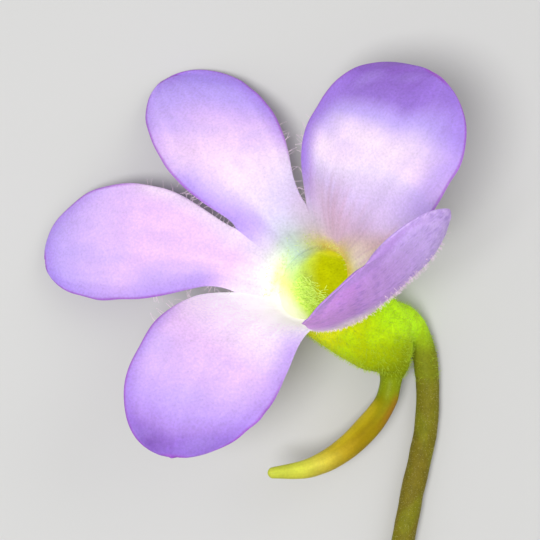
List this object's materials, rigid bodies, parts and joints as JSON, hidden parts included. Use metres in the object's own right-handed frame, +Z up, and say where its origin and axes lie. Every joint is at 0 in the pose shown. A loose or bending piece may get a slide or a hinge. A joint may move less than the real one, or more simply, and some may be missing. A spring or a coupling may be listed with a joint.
{
  "type": "butterwort flower",
  "caption": "Single spurred butterwort flower with spreading lobes, cut with its stalk and laid on its side.",
  "frame": {"origin": "on the resting surface, under the centre of the object's box", "axes": "+Z up from the surface that the flower lies on, +Y from the stalk's cut end towards the flower, +X to the right of it seen from above"},
  "size_m": [0.0265, 0.0402, 0.0207],
  "materials": {
    "corolla_limb": "soft lilac petal tissue, paler and pinker inwards, purple at tips and margins",
    "corolla_tube": "yellow-green petal tissue with short fine hairs",
    "spur": "smooth golden olive petal tissue",
    "calyx": "bright green leaf tissue with short fine hairs",
    "scape": "olive green stalk with short fine hairs",
    "pistil": "pale yellow-green, moist",
    "stamen": "cream, matte"
  },
  "bodies": {
    "root": {"corolla_limb": "corolla_limb", "corolla_tube": "corolla_tube", "spur": "spur", "calyx": "calyx", "scape": "scape", "pistil": "pistil", "stamen_left": "stamen", "stamen_right": "stamen"}
  },
  "joints": []
}
